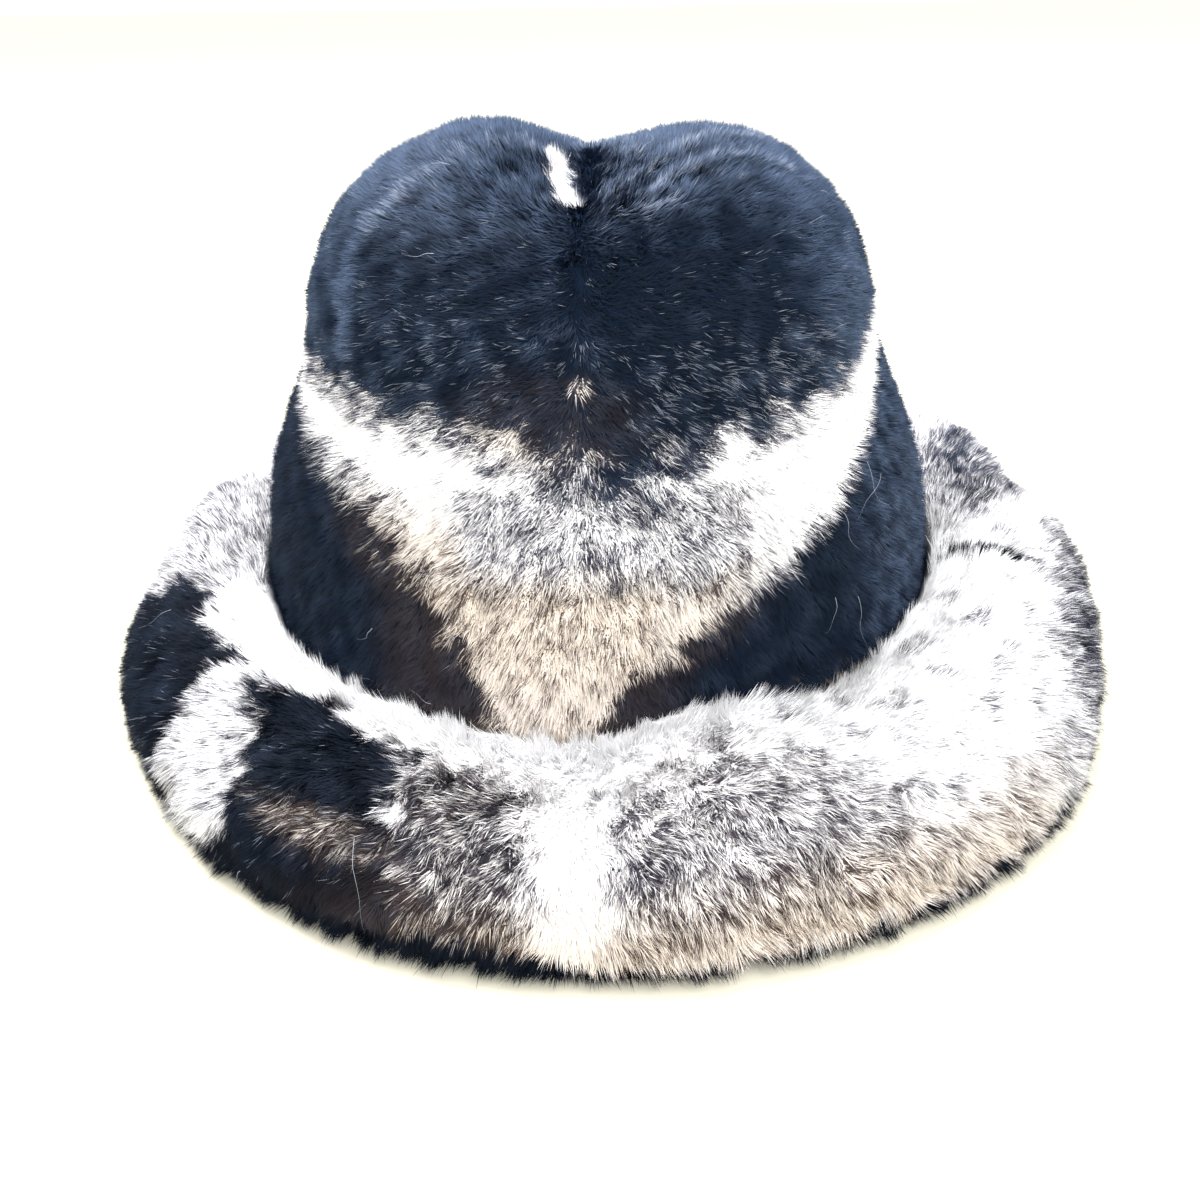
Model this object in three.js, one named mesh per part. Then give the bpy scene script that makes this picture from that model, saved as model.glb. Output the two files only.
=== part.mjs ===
// Fur fedora: a creased crown on a wide padded brim, lying on its brim.
// Millimetres, +Z up, the front of the hat towards -Y and its right side in the picture towards +X.

import * as THREE from 'three';
import { mergeVertices } from 'three/addons/utils/BufferGeometryUtils.js';

// Head opening and the fur wall round it
const headWidth = 166;
const headLength = 196;
const furWall = 17;
const seamGap = 0.3;

// Crown: a wall up to the shoulder, and a rounded roof over it
const footBottom = 3;
const footTop = 41;
const shoulderHeight = 96;
const shoulderHalfWidth = 82;
const shoulderHalfLength = 97;
const roofMiddle = 160;
const roofFront = 151;
const roofBack = 130;
const roofRoundness = 2.4;
const shoulderFullness = 2.25;
const crownLean = -1;

// Crease between the crown's two lobes, pinched deepest at the front
const creaseFront = 31;
const creaseMiddle = 12.5;
const creaseBack = 17;
const creaseLeftWidth = 36;
const creaseRightWidth = 52;
const creaseSharpness = 1.7;
const creaseFadesAt = 46;
const creaseFullAt = 70;

// Brim: how far it reaches past the crown's foot, and its section
const brimLeft = 43;
const brimRight = 49;
const brimFront = 52;
const brimBack = 53;
const brimEdgeHeight = 11;
const brimSwell = 4;
const brimSwellLean = 0.8;
const brimFlatShare = 0.78;
const crestShare = 0.03;
const edgeShare = 0.98;
const fallStart = 2.4;
const fallEnd = 0.62;

// Rows of fur locks up the wall, over the roof and across the brim
const wallLockRows = 3;
const roofLockRows = 6;
const brimLockRows = 5;
const flatFromRow = 5.5;
const flatToRow = 8;

// Fur locks, and the seam of the pelts at the front
const spokes = 80;
const crownLock = 1.4;
const brimLock = 2.2;
const partingHeight = 0.2;
const partingSetBack = 0.3;
const footUnderLocks = 3;
const unevenness = 0.35;
const seamDepth = 1.6;
const weldDistance = 1e-4;

const footHalfWidth = headWidth / 2 + furWall;
const footHalfLength = headLength / 2 + furWall;

// The crown's wall: how far it draws in from the foot at the sides and at the ends
const wallRows = [
  { height: footBottom, sides: 0, ends: 0 },
  { height: footTop, sides: 0, ends: 0 },
  { height: 54, sides: 1.5, ends: 2 },
  { height: 66, sides: 4.5, ends: 5.5 },
  { height: 77, sides: 9.5, ends: 10.5 },
  { height: 87, sides: 14, ends: 15 },
  {
    height: shoulderHeight,
    sides: footHalfWidth - shoulderHalfWidth,
    ends: footHalfLength - shoulderHalfLength,
  },
];

// The brim round the hat, by the turn in degrees from the front, positive to the right:
// crest is the height of its fur by the crown, rise what its edge turns up,
// and bulge what its edge stands out or draws in.
const brimRows = [
  { turn: -180, crest: 37, rise: 13, bulge: 0 },
  { turn: -150, crest: 37, rise: 13, bulge: 2 },
  { turn: -128, crest: 37, rise: 12, bulge: -2 },
  { turn: -108, crest: 38, rise: 6, bulge: 3 },
  { turn: -88, crest: 38, rise: 2, bulge: 0 },
  { turn: -66, crest: 37, rise: 0, bulge: 1 },
  { turn: -45, crest: 33, rise: 0, bulge: 0 },
  { turn: -22, crest: 33, rise: 0, bulge: 0 },
  { turn: -4, crest: 30, rise: 0, bulge: 0 },
  { turn: 17, crest: 39, rise: 0, bulge: 2 },
  { turn: 31, crest: 31, rise: 0, bulge: 5 },
  { turn: 48, crest: 35, rise: 1, bulge: 6 },
  { turn: 72, crest: 38, rise: 6, bulge: 2 },
  { turn: 88, crest: 38, rise: 10, bulge: 1 },
  { turn: 101, crest: 35, rise: 8, bulge: -1 },
  { turn: 116, crest: 38, rise: 13, bulge: 3 },
  { turn: 130, crest: 35, rise: 12, bulge: -2 },
  { turn: 148, crest: 38, rise: 14, bulge: 3 },
  { turn: 164, crest: 37, rise: 13, bulge: 0 },
  { turn: 180, crest: 37, rise: 13, bulge: 0 },
];

// The brim's underside, from under the crown's foot out and up round the edge:
// out is the share of its reach, and up the share of the edge's height
const underRows = [
  { out: 0.35, up: 0 },
  { out: brimFlatShare, up: 0 },
  { out: 0.94, up: 0.1 },
  { out: 0.985, up: 0.4 },
  { out: 1, up: 0.8 },
];

// Rings inside the hollow: climbs over the roof in degrees, and heights down the wall
const insideClimbs = [90, 72, 54, 36, 18];
const insideHeights = [shoulderHeight, 77, 54, footBottom];

// One row of locks, from the tips in to the roots, which the next row's tips cover
const lockRings = [
  { along: 0, stand: 1 },
  { along: 0.5, stand: 0.55 },
  { along: 0.9, stand: 0 },
];

// Steps that scatter the lock heights evenly
const scatter = { spoke: 12.9898, row: 78.233, spread: 43758.5453 };

const degrees = Math.PI / 180;
const rightAngle = 90;
const { lerp, mapLinear, smoothstep } = THREE.MathUtils;

// Value of a table's column between two of its rows, along a straight line or a smooth one
function readTable(rows, key, column, at, smooth) {
  const above = Math.max(1, rows.findIndex((row) => row[key] >= at));
  const from = rows[above - 1];
  const to = rows[above];
  const share = mapLinear(at, from[key], to[key], 0, 1);
  return lerp(from[column], to[column], smooth ? smoothstep(share, 0, 1) : share);
}

// Parabola through a front, a middle and a back value, along the crown's length
function archThrough(front, middle, back, y) {
  const along = y / shoulderHalfLength;
  return middle + ((back - front) / 2) * along + ((front + back) / 2 - middle) * along ** 2;
}

// Point of an oval in plan; a fullness of 2 is an ellipse and more is squarer
function ovalPoint(angle, halfWidth, halfLength, fullness) {
  const sideways = Math.sin(angle);
  const forwards = Math.cos(angle);
  const acrossTerm = Math.abs(sideways / halfWidth) ** fullness;
  const alongTerm = Math.abs(forwards / halfLength) ** fullness;
  const reach = (acrossTerm + alongTerm) ** (-1 / fullness);
  return new THREE.Vector2(reach * sideways, -reach * forwards);
}

// Locks alternate with the partings between them, and their rows are staggered like shingles
function isLock(spoke, row) {
  return (spoke + row) % 2 === 0;
}

// Share of the full lock height that a spoke has in a row, uneven from lock to lock
function lockHeight(spoke, row) {
  const wave = Math.sin(spoke * scatter.spoke + row * scatter.row) * scatter.spread;
  const uneven = 1 + unevenness * (2 * (wave - Math.floor(wave)) - 1);
  return uneven * (isLock(spoke, row) ? 1 : partingHeight);
}

// Where a ring of locks lies at a spoke: the partings' ends are set back from the lock tips
function alongLock(ring, spoke) {
  const setBack = isLock(spoke, ring.row) ? 0 : partingSetBack * ring.stand;
  return ring.row + ring.along + setBack;
}

// What the seam at the front takes off the fur
function seamDip(spoke) {
  return spoke === 0 ? seamDepth : 0;
}

// A turned solid, whose round rings are then moved to their real place by a function
function shapedSolid(rings, place) {
  const section = rings.map((ring) => {
    const point = place(ring, 0, 0);
    return new THREE.Vector2(ring.onAxis ? 0 : -point.y, point.z);
  });
  const geometry = new THREE.LatheGeometry(section, spokes);
  const position = geometry.getAttribute('position');
  for (let index = 0; index < position.count; index += 1) {
    const spoke = Math.floor(index / rings.length) % spokes;
    const point = place(rings[index % rings.length], spoke, (spoke / spokes) * 2 * Math.PI);
    position.setXYZ(index, point.x, point.y, point.z);
  }
  geometry.deleteAttribute('normal');
  geometry.deleteAttribute('uv');
  return closedOnAxis(mergeVertices(geometry, weldDistance));
}

// On the axis a ring shrinks to one point, so the triangles that vanish there are dropped
function closedOnAxis(geometry) {
  const index = geometry.getIndex();
  const kept = [];
  for (let corner = 0; corner < index.count; corner += 3) {
    const [a, b, c] = [index.getX(corner), index.getX(corner + 1), index.getX(corner + 2)];
    if (a !== b && b !== c && c !== a) {
      kept.push(a, b, c);
    }
  }
  geometry.setIndex(kept);
  geometry.computeVertexNormals();
  return geometry;
}

// Point of the crown's wall; inset is the fur wall on the inside, and lift a lock outside
function wallPoint(height, angle, inset, lift) {
  const sides = readTable(wallRows, 'height', 'sides', height, false);
  const ends = readTable(wallRows, 'height', 'ends', height, false);
  const fullness = lerp(2, shoulderFullness, smoothstep(height, footTop, shoulderHeight));
  const halfWidth = footHalfWidth - sides - inset + lift;
  const halfLength = footHalfLength - ends - inset + lift;
  const plan = ovalPoint(angle, halfWidth, halfLength, fullness);
  return new THREE.Vector3(plan.x, plan.y, height);
}

// Depth of the crease under the lobes at a place in plan
function creaseDepth(x, y, climb) {
  const halfWidth = x < 0 ? creaseLeftWidth : creaseRightWidth;
  const side = Math.max(0, 1 - Math.abs(x) / halfWidth) ** creaseSharpness;
  const shown = smoothstep(climb, creaseFadesAt, creaseFullAt);
  return archThrough(creaseFront, creaseMiddle, creaseBack, y) * side * shown;
}

// Point of the crown's roof; climb runs from 0 at the shoulder to 90 degrees at the middle
function roofPoint(climb, angle, inset, lift) {
  const out = Math.cos(climb * degrees);
  const up = Math.sin(climb * degrees);
  const share = climb >= rightAngle ? 0 : out ** (2 / roofRoundness);
  const rise = up ** (2 / roofRoundness);
  const halfWidth = shoulderHalfWidth - inset + lift * out;
  const halfLength = shoulderHalfLength - inset + lift * out;
  const plan = ovalPoint(angle, halfWidth, halfLength, shoulderFullness).multiplyScalar(share);
  const top = archThrough(roofFront, roofMiddle, roofBack, plan.y) - inset;
  const height = lerp(shoulderHeight, top, rise) - creaseDepth(plan.x, plan.y, climb) + lift * up;
  return new THREE.Vector3(plan.x, plan.y, height);
}

// Point of the crown's outside at a number of lock rows up from the foot
function crownOutside(rowsUp, angle, lift) {
  if (rowsUp <= wallLockRows) {
    const height = lerp(footTop, shoulderHeight, rowsUp / wallLockRows);
    return wallPoint(height, angle, 0, lift);
  }
  const climb = Math.min(rightAngle, ((rowsUp - wallLockRows) / roofLockRows) * rightAngle);
  return roofPoint(climb, angle, 0, lift);
}

// Crown: a hollow shell, open below, with its locks hanging down the outside
function makeCrown() {
  const rings = [];

  // inside, from the middle of the roof down to the head opening
  for (const climb of insideClimbs) {
    rings.push({ side: 'roof inside', climb, onAxis: climb === rightAngle });
  }
  for (const height of insideHeights) {
    rings.push({ side: 'wall inside', height });
  }

  // the plain foot that the brim holds
  rings.push({ side: 'foot', height: footBottom });
  rings.push({ side: 'foot', height: footTop - footUnderLocks });

  // rows of locks up the wall and over the roof, lying flat towards the middle
  const lockRows = wallLockRows + roofLockRows;
  for (let row = 0; row < lockRows; row += 1) {
    const flattened = 1 - smoothstep(row, flatFromRow, flatToRow);
    for (const lockRing of lockRings) {
      rings.push({ ...lockRing, side: 'locks', row, flattened });
    }
  }
  rings.push({ side: 'locks', row: lockRows, along: 0, stand: 0, flattened: 0, onAxis: true });

  return shapedSolid(rings, (ring, spoke, angle) => {
    const point = crownPoint(ring, spoke, angle);
    point.x += crownLean * smoothstep(point.z, footTop, roofMiddle);
    return point;
  });
}

// Point of the crown at one ring and spoke, before it leans
function crownPoint(ring, spoke, angle) {
  if (ring.side === 'roof inside') {
    return roofPoint(ring.climb, angle, furWall, 0);
  }
  if (ring.side === 'wall inside') {
    return wallPoint(ring.height, angle, furWall, 0);
  }
  if (ring.side === 'foot') {
    return wallPoint(ring.height, angle, 0, 0);
  }
  const seam = ring.row < wallLockRows ? seamDip(spoke) : 0;
  const lift = crownLock * ring.stand * ring.flattened * lockHeight(spoke, ring.row);
  return crownOutside(alongLock(ring, spoke), angle, lift - seam);
}

// Brim: a padded ring round the crown's foot, flat where it lies on the table
function makeBrim() {
  const rings = underRows.map((row) => ({ ...row, side: 'under' }));

  // rows of locks from the edge in to the crest, their tips pointing outwards
  for (let row = 0; row < brimLockRows; row += 1) {
    for (const lockRing of lockRings) {
      rings.push({ ...lockRing, side: 'locks', row });
    }
  }

  // the inner wall that holds the crown's foot, and back to the start
  for (const up of [1, 0.5, 0]) {
    rings.push({ side: 'wall', out: 0, up });
  }
  rings.push(rings[0]);
  return shapedSolid(rings, brimPoint);
}

// Point of the brim at one ring and spoke
function brimPoint(ring, spoke, angle) {
  const turn = angle > Math.PI ? angle / degrees - 360 : angle / degrees;
  const crest = readTable(brimRows, 'turn', 'crest', turn, true);
  const rise = readTable(brimRows, 'turn', 'rise', turn, true);
  const bulge = readTable(brimRows, 'turn', 'bulge', turn, true);

  const plan = ovalPoint(angle, footHalfWidth, footHalfLength, 2);
  const outward = plan.clone().normalize();
  const sideReach = plan.x > 0 ? brimRight : brimLeft;
  const endReach = plan.y < 0 ? brimFront : brimBack;
  const reach = lerp(endReach, sideReach, Math.sin(angle) ** 2) + bulge;

  let { out } = ring;
  let height = crest * ring.up;
  let standOut = 0;
  if (ring.side === 'locks') {
    const inwards = alongLock(ring, spoke) / brimLockRows;
    out = lerp(crestShare, edgeShare, Math.cos(inwards * rightAngle * degrees));
    const lift = brimLock * ring.stand * lockHeight(spoke, ring.row) - seamDip(spoke);
    const fall = (1 - out ** fallStart) ** fallEnd;
    height = lerp(brimEdgeHeight, crest, fall);
    height += brimSwell * Math.sin(Math.PI * out ** brimSwellLean);
    height += lift * (1 - out ** 3);
    standOut = lift * out ** 3;
  } else if (ring.side === 'under') {
    height = brimEdgeHeight * ring.up;
  }
  height += rise * smoothstep(out, ring.side === 'under' ? brimFlatShare : 0, 1);
  plan.addScaledVector(outward, seamGap + out * reach + standOut);
  return new THREE.Vector3(plan.x, plan.y, height);
}

// One named piece of the hat with its finish
function piece(name, geometry, colour) {
  const material = new THREE.MeshStandardMaterial({ color: colour, roughness: 0.95, metalness: 0 });
  const mesh = new THREE.Mesh(geometry, material);
  mesh.name = name;
  return mesh;
}

const hat = new THREE.Group();
hat.add(piece('crown', makeCrown(), 0x343a48));
hat.add(piece('brim', makeBrim(), 0x8d8883));

// The origin is under the middle of the hat, on the surface that it lies on
const box = new THREE.Box3().setFromObject(hat);
const middle = box.getCenter(new THREE.Vector3());
hat.position.set(-middle.x, -middle.y, -box.min.z);

export default hat;
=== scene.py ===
# %% [markdown]
# # A fur fedora
# The hat is a creased crown on a wide padded brim, covered all over in short dense fur:
# near-black and white pelts sewn side by side, with salt-and-pepper fur where they meet.
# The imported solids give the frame. Everything here is in metres and in the solids' frame,
# with the front of the hat towards -Y.

# %% Load the frame
import math

import bpy
import numpy as np
from mathutils import Matrix, Vector, kdtree
from mathutils.bvhtree import BVHTree


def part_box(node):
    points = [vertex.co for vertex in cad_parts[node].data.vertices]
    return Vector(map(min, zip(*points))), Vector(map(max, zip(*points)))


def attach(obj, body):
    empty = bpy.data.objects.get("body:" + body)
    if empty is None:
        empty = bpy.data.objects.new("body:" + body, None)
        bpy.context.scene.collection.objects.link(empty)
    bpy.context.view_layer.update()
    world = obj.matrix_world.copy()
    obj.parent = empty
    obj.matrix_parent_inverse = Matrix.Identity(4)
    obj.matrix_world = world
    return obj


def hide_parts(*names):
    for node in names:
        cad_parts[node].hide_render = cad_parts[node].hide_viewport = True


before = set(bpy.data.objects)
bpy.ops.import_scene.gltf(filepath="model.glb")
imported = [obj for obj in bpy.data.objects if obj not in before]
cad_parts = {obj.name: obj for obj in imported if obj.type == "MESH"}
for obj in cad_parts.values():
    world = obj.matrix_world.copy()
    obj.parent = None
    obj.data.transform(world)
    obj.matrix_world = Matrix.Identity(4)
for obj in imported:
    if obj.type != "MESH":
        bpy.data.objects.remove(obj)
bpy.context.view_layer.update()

MM = 0.001
crown_low, crown_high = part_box("crown")
brim_low, brim_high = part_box("brim")
print("crown from", tuple(crown_low), "to", tuple(crown_high))
print("brim from", tuple(brim_low), "to", tuple(brim_high))

# %% [markdown]
# ## Where the hat's middle is
# The brim is wider on one side than on the other, so the middle of the box is not the
# middle of the head opening. The lowest ring of the crown is a plain oval round that
# opening, so its middle is the hat's axis. All the markings are charted round this axis.

# %% The axis and the oval foot
# The crown's vertices lower than this are its foot
FOOT_BAND = 30 * MM


def vertices_of(mesh):
    """The places of a mesh's vertices as an array."""
    places = np.zeros(len(mesh.vertices) * 3)
    mesh.vertices.foreach_get("co", places)
    return places.reshape(-1, 3)


crown_places = vertices_of(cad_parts["crown"].data)
foot_ring = crown_places[crown_places[:, 2] < FOOT_BAND]
axis = (foot_ring.min(0) + foot_ring.max(0)) / 2
axis[2] = 0
foot_half = (foot_ring.max(0) - foot_ring.min(0))[:2] / 2
print("axis at", axis.round(4), "foot half sizes", foot_half.round(4))

# %% [markdown]
# ## Smooth random waves
# Fur is never even: its colour, length and direction drift from place to place. A sum of
# a few sine waves in fixed random directions gives such a drift at any size, and it is
# the same on each run because its seed is fixed.

# %% Waves over the surface
WAVES = 9
# Keeps a sum of waves mostly between -1 and 1
CALM = 1.6


def drift(places, size, seed):
    """A smooth random value from about -1 to 1 at each place, in lumps of that size."""
    dice = np.random.default_rng(seed)
    total = np.zeros(len(places))
    for _ in range(WAVES):
        heading = dice.normal(size=3)
        heading /= np.linalg.norm(heading)
        stretch = dice.uniform(0.7, 1.5)
        start = dice.uniform(0, 2 * math.pi)
        total += np.sin(places @ heading * (2 * math.pi * stretch / size) + start)
    return total / math.sqrt(WAVES / 2) / CALM


def ease(value, low, high):
    """0 up to low, 1 from high on, and smooth between."""
    share = np.clip((value - low) / (high - low), 0, 1)
    return share * share * (3 - 2 * share)


print("drift spreads over", np.ptp(drift(crown_places, 20 * MM, 1)).round(2))

# %% [markdown]
# ## The skins under the fur
# Under the pile the real hat has a soft padded body. Each skin starts as a copy of its
# solid, is remeshed into even faces, loses the carved locks by smoothing and shrinks by
# the depth of the pile. Then cloth simulation with a little pressure inside puffs it up,
# the way that wadding does, and what a point may move is capped.

# %% Sizes of the skins
VOXEL = 5 * MM
PILE_DEPTH = {"crown": 2.9 * MM, "brim": 3.5 * MM}
PUFF_PRESSURE = 4
PUFF_FRAMES = 20
PUFF_CAP = 2 * MM
SMOOTHING = 5
WELD = 0.01 * MM


def apply_modifiers(piece):
    """Makes each modifier of a piece part of its mesh."""
    bpy.ops.object.select_all(action="DESELECT")
    piece.select_set(True)
    bpy.context.view_layer.objects.active = piece
    for modifier in list(piece.modifiers):
        bpy.ops.object.modifier_apply(modifier=modifier.name)


def skin_from_solid(node):
    """A copy of a solid, merged and remeshed, with its carved locks smoothed away."""
    piece = bpy.data.objects.new(node + "_skin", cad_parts[node].data.copy())
    bpy.context.scene.collection.objects.link(piece)
    bpy.ops.object.select_all(action="DESELECT")
    piece.select_set(True)
    bpy.context.view_layer.objects.active = piece
    bpy.ops.object.mode_set(mode="EDIT")
    bpy.ops.mesh.select_all(action="SELECT")
    bpy.ops.mesh.remove_doubles(threshold=WELD)
    bpy.ops.object.mode_set(mode="OBJECT")
    remesh = piece.modifiers.new("even faces", "REMESH")
    remesh.mode = "VOXEL"
    remesh.voxel_size = VOXEL
    smooth = piece.modifiers.new("no locks", "SMOOTH")
    smooth.factor = 0.5
    smooth.iterations = SMOOTHING
    apply_modifiers(piece)
    return piece


def normals_of(mesh):
    """The vertex normals of a mesh as an array."""
    found = np.zeros(len(mesh.vertices) * 3)
    mesh.vertex_normals.foreach_get("vector", found)
    return found.reshape(-1, 3)


def write_places(mesh, places):
    """Moves a mesh's vertices."""
    mesh.vertices.foreach_set("co", places.astype(np.float32).ravel())
    mesh.update()


# %% Which part of a skin bears fur
# A point in the hollow of the crown, above the middle of its foot
CROWN_CORE = np.array([0, 0, 55 * MM])
# Heights between which the crown's fur begins, where the brim holds its foot
CROWN_FUR_FROM, CROWN_FUR_FULL = 22 * MM, 36 * MM
# Distances from the crown between which the brim's fur begins
BRIM_FUR_FROM, BRIM_FUR_FULL = 1 * MM, 5 * MM
# Upward parts of the normal between which the brim's edge turns from bare to furry
UNDERNEATH, ON_THE_EDGE = -0.75, -0.35


def foot_reach(turn):
    """How far the crown's foot reaches from the axis, at a turn in radians from the front."""
    across = np.sin(turn) / foot_half[0]
    along = np.cos(turn) / foot_half[1]
    return 1 / np.sqrt(across**2 + along**2)


def turn_and_reach(places):
    """The turn from the front in radians, positive to +X, and the reach from the axis."""
    from_axis = places - axis
    reach = np.hypot(from_axis[:, 0], from_axis[:, 1])
    return np.arctan2(from_axis[:, 0], -from_axis[:, 1]), reach


def crown_fur_share(places, normals):
    """1 on the outside of the crown and 0 inside it and on the foot that the brim holds."""
    outward = ((places - axis - CROWN_CORE) * normals).sum(1) > 0
    return outward * ease(places[:, 2], CROWN_FUR_FROM, CROWN_FUR_FULL)


def brim_fur_share(places, normals):
    """1 on the top and the edge of the brim, 0 underneath and against the crown."""
    turn, reach = turn_and_reach(places)
    clear_of_crown = ease(reach - foot_reach(turn), BRIM_FUR_FROM, BRIM_FUR_FULL)
    on_top = ease(normals[:, 2], UNDERNEATH, ON_THE_EDGE)
    return clear_of_crown * on_top


fur_share = {"crown": crown_fur_share, "brim": brim_fur_share}

# %% Shrink, puff and finish each skin
# The skins end this far above the floor
REST_GAP = 0.3 * MM


def puff(piece):
    """Blows a skin up a little, as wadding does."""
    before = vertices_of(piece.data)
    cloth = piece.modifiers.new("wadding", "CLOTH")
    cloth.settings.use_pressure = True
    cloth.settings.uniform_pressure_force = PUFF_PRESSURE
    cloth.settings.effector_weights.gravity = 0
    scene = bpy.context.scene
    scene.frame_start, scene.frame_end = 1, PUFF_FRAMES
    for step in range(1, PUFF_FRAMES + 1):
        scene.frame_set(step)
    swollen = piece.evaluated_get(bpy.context.evaluated_depsgraph_get())
    after = vertices_of(swollen.data)
    piece.modifiers.remove(cloth)
    scene.frame_set(1)
    moved = after - before
    length = np.linalg.norm(moved, axis=1, keepdims=True)
    moved *= np.minimum(1, PUFF_CAP / np.maximum(length, 1e-9))
    write_places(piece.data, before + moved)
    return float(np.median(np.linalg.norm(moved, axis=1)))


def finish_skin(piece):
    """One subdivision, a flat rest on the floor, and smooth shading."""
    finer = piece.modifiers.new("finer", "SUBSURF")
    finer.levels = 1
    finer.render_levels = 1
    apply_modifiers(piece)
    places = vertices_of(piece.data)
    places[:, 2] = np.maximum(places[:, 2], REST_GAP)
    write_places(piece.data, places)
    bpy.ops.object.shade_smooth()


skins = {}
for node in ("crown", "brim"):
    skin = skin_from_solid(node)
    places, normals = vertices_of(skin.data), normals_of(skin.data)
    sunk = fur_share[node](places, normals) * PILE_DEPTH[node]
    write_places(skin.data, places - normals * sunk[:, None])
    print(node, "puffed by a median of", round(puff(skin) / MM, 2), "mm")
    finish_skin(skin)
    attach(skin, "root")
    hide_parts(node)
    skins[node] = skin
    print(node, "skin has", len(skin.data.polygons), "faces")

# %% [markdown]
# ## The chart of the markings
# The pelts' markings are charted in two flat maps. On the crown a place is given
# by its turn from the front, in degrees, and its height in millimetres. On the brim it is
# given by its turn and by its share of the way from the crown to the edge. Each map
# answers one question: how likely is a hair here to be a dark one? Hairs then draw lots,
# so a border between pelts is ragged and a value in between looks like pepper.

# %% Tools for the chart
TINY = 1e-6
FAR = 1e9


def along_table(rows, turn_degrees):
    """Reads a table of (turn, value) rows all round the hat."""
    rows = sorted(rows)
    turns = [row[0] for row in rows]
    values = [row[1] for row in rows]
    return np.interp(turn_degrees, turns, values, period=360)


def inside_outline(across, up, outline):
    """How far inside an outline each place is, negative outside, in the chart's units."""
    corners = np.array(outline, float)
    nearest = np.full(len(across), FAR)
    crossings = np.zeros(len(across), int)
    for (x0, y0), (x1, y1) in zip(corners, np.roll(corners, -1, axis=0)):
        dx, dy = x1 - x0, y1 - y0
        along = (across - x0) * dx + (up - y0) * dy
        share = np.clip(along / (dx * dx + dy * dy + TINY), 0, 1)
        gap = np.hypot(across - x0 - share * dx, up - y0 - share * dy)
        nearest = np.minimum(nearest, gap)
        straddles = (y0 > up) != (y1 > up)
        meets = x0 + (up - y0) * dx / (dy if abs(dy) > TINY else TINY)
        crossings += straddles & (across < meets)
    return np.where(crossings % 2 == 1, nearest, -nearest)


def near(value, middle, inner, outer):
    """1 within the inner distance of the middle, 0 beyond the outer one."""
    return 1 - ease(np.abs(value - middle), inner, outer)


def spot(across, up, centre, radius, soft):
    """1 inside a round spot and 0 outside it."""
    from_centre = np.hypot(across - centre[0], up - centre[1])
    return 1 - ease(from_centre, radius - soft, radius + soft)


# %% The crown's chart
# Rows of turn, height of the middle of the border, and half the width of the change.
# Above the upper border the crown is near-black, below the lower border too, and between
# them runs the white band.
UPPER_BORDER = [
    (-180, 100, 4), (-150, 103, 4), (-120, 104, 4), (-95, 101, 4), (-75, 100, 5),
    (-57, 98, 8), (-38, 97, 9), (-26, 97, 10), (-15, 94, 12), (-8, 89, 15),
    (-2, 84, 18), (3, 80, 18), (9, 80, 16), (16, 88, 14), (23, 92, 12),
    (33, 94, 9), (47, 98, 6), (60, 106, 4), (75, 110, 4), (95, 109, 4),
    (120, 106, 4), (150, 103, 4), (180, 100, 4),
]
LOWER_BORDER = [
    (-180, 72, 4), (-150, 84, 4), (-120, 96, 4), (-95, 97, 4), (-72, 95, 4),
    (-53, 88, 7), (-35, 81, 12), (-25, 74, 15), (-19, 65, 16), (-14, 51, 15),
    (-10, 32, 12), (-6, 10, 8), (-1, 12, 8), (1, 28, 7), (4, 39, 6),
    (7, 46, 7), (14, 54, 8), (22, 61, 7), (29, 68, 6), (41, 77, 5),
    (51, 87, 4), (62, 95, 4), (75, 102, 4), (95, 103, 4), (120, 97, 4),
    (150, 84, 4), (180, 72, 4),
]
# The white patch on the left slope of the crease, in millimetres from the axis,
# from its back to its foot at the front
CREASE_PATCH = [(-8.0, -22), (-6.2, -36), (-3.8, -48), (-2.6, -57)]
CREASE_PATCH_WIDTH = 2.7
# A small whorl of pale fur on the front seam
WHORL = {"turn": 0.3, "height": 108, "radius": 1.8}
# Lines along which the pile on the lobes stands up and catches the light, with a painted highlight
LEFT_ARC = [
    (-57, -75), (-57, -59), (-43, -51), (-37, -47), (-31, -44), (-23, -31), (-14, -26), (-8, -30),
]
RIDGES = [
    [(4, -53), (14, -42), (24, -32), (33, -23), (46, -17)],
    [(15, -62), (21, -51), (34, -40), (50, -34)],
    [(6, -67), (14, -67), (22, -64)],
]
# Heights above which the lines on the lobes, the painted glints along them, the painted glints on
# the
#  crease's right slope, the patch and the left arc begin
RIDGE_HEIGHT, SILVER_HEIGHT, SLOPE_HEIGHT, PATCH_HEIGHT, ARC_HEIGHT = 138, 136, 134, 120, 108
# Millimetres of the crown's front in one degree of turn
TURN_TO_MM = 1.75


def crossing(height, turn, border):
    """How far above a border a place is, from -1 to 1 over the width of its change."""
    middle = along_table([row[:2] for row in border], turn)
    half_width = along_table([(row[0], row[2]) for row in border], turn)
    return (height - middle) / half_width


def beside_line(x, y, line):
    """Distance from a line through points."""
    nearest = np.full(len(x), FAR)
    for (x0, y0), (x1, y1) in zip(line, line[1:]):
        dx, dy = x1 - x0, y1 - y0
        along = (x - x0) * dx + (y - y0) * dy
        share = np.clip(along / (dx * dx + dy * dy), 0, 1)
        gap = np.hypot(x - x0 - share * dx, y - y0 - share * dy)
        nearest = np.minimum(nearest, gap)
    return nearest


def light_lines(x, y, height):
    """How strongly the pile stands up and catches the light along the lines on the lobes."""
    lines = 0.7 * near(beside_line(x, y, LEFT_ARC), 0, 1.0, 4.5) * (height > ARC_HEIGHT)
    for ridge in RIDGES:
        line = near(beside_line(x, y, ridge), 0, 0.8, 3.0) * (height > RIDGE_HEIGHT)
        lines = np.maximum(lines, line)
    return lines


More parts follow.
